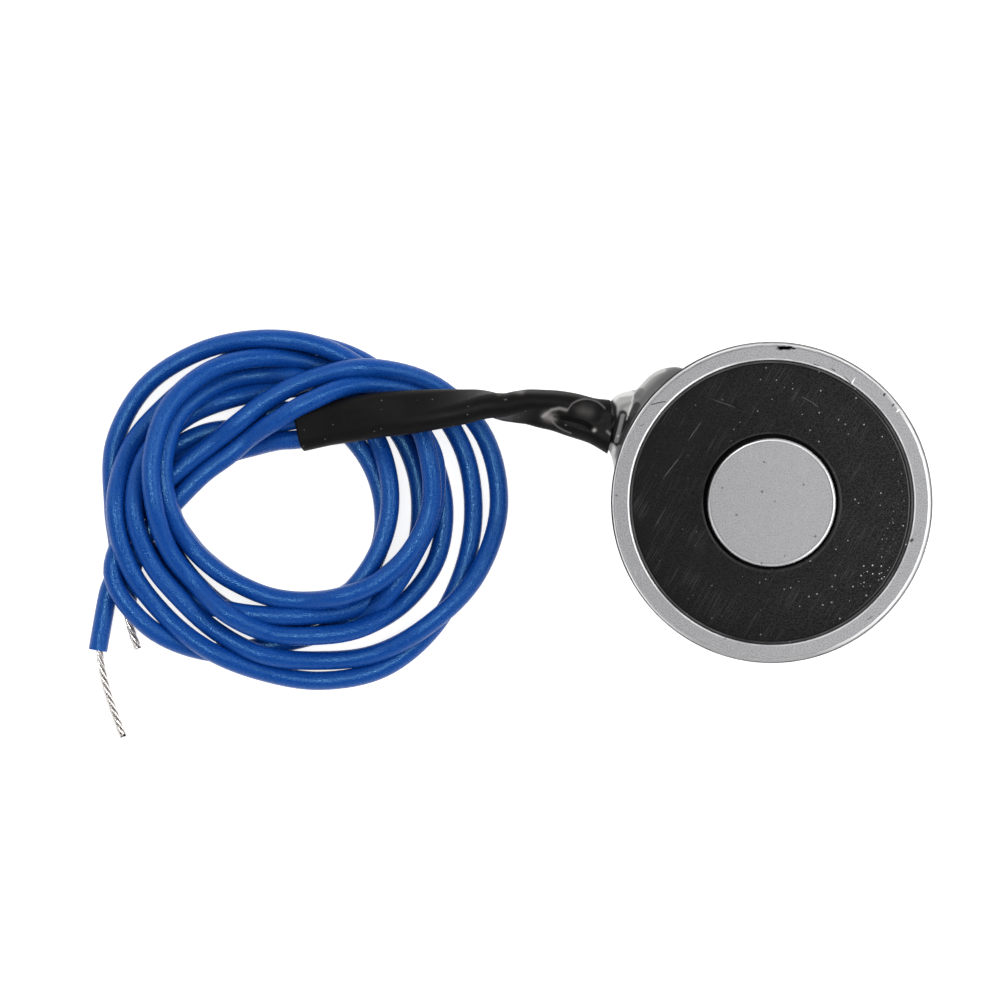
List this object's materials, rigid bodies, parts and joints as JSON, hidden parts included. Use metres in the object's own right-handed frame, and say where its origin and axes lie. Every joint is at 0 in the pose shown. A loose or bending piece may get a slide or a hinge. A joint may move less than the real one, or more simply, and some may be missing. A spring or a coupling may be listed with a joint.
{
  "type": "holding electromagnet",
  "caption": "Round steel pot magnet with a resin-filled coil groove, threaded back and coiled blue leads in a short black sleeve; holds steel parts when powered.",
  "frame": {"origin": "centre of the back face, on the axis of the pot", "axes": "+Z along the pot axis out of the working face, +X away from the coiled leads"},
  "size_m": [0.1063, 0.0512, 0.02],
  "materials": {
    "steel": "ground face, plated side",
    "spool_plastic": "moulded",
    "copper": "enamelled",
    "wrap_film": "film",
    "solder": "bright",
    "cover_film": "satin",
    "resin": "ground flat, finely scratched",
    "adhesive": "clear, smooth",
    "shrink_sleeve": "satin",
    "insulation": "soft gloss",
    "tinned_wire": "bright twisted strands"
  },
  "bodies": {
    "root": {"pot_body": "steel", "bobbin": "spool_plastic", "winding": "copper", "winding_tape": "wrap_film", "joint_a": "solder", "joint_b": "solder", "joint_cover_a": "cover_film", "joint_cover_b": "cover_film", "potting": "resin", "exit_seal": "adhesive", "lead_sleeve": "shrink_sleeve", "lead_a": "insulation", "lead_b": "insulation", "lead_coil": "insulation", "lead_a_tail": "insulation", "strands_a": "tinned_wire", "strands_b": "tinned_wire"}
  },
  "joints": []
}
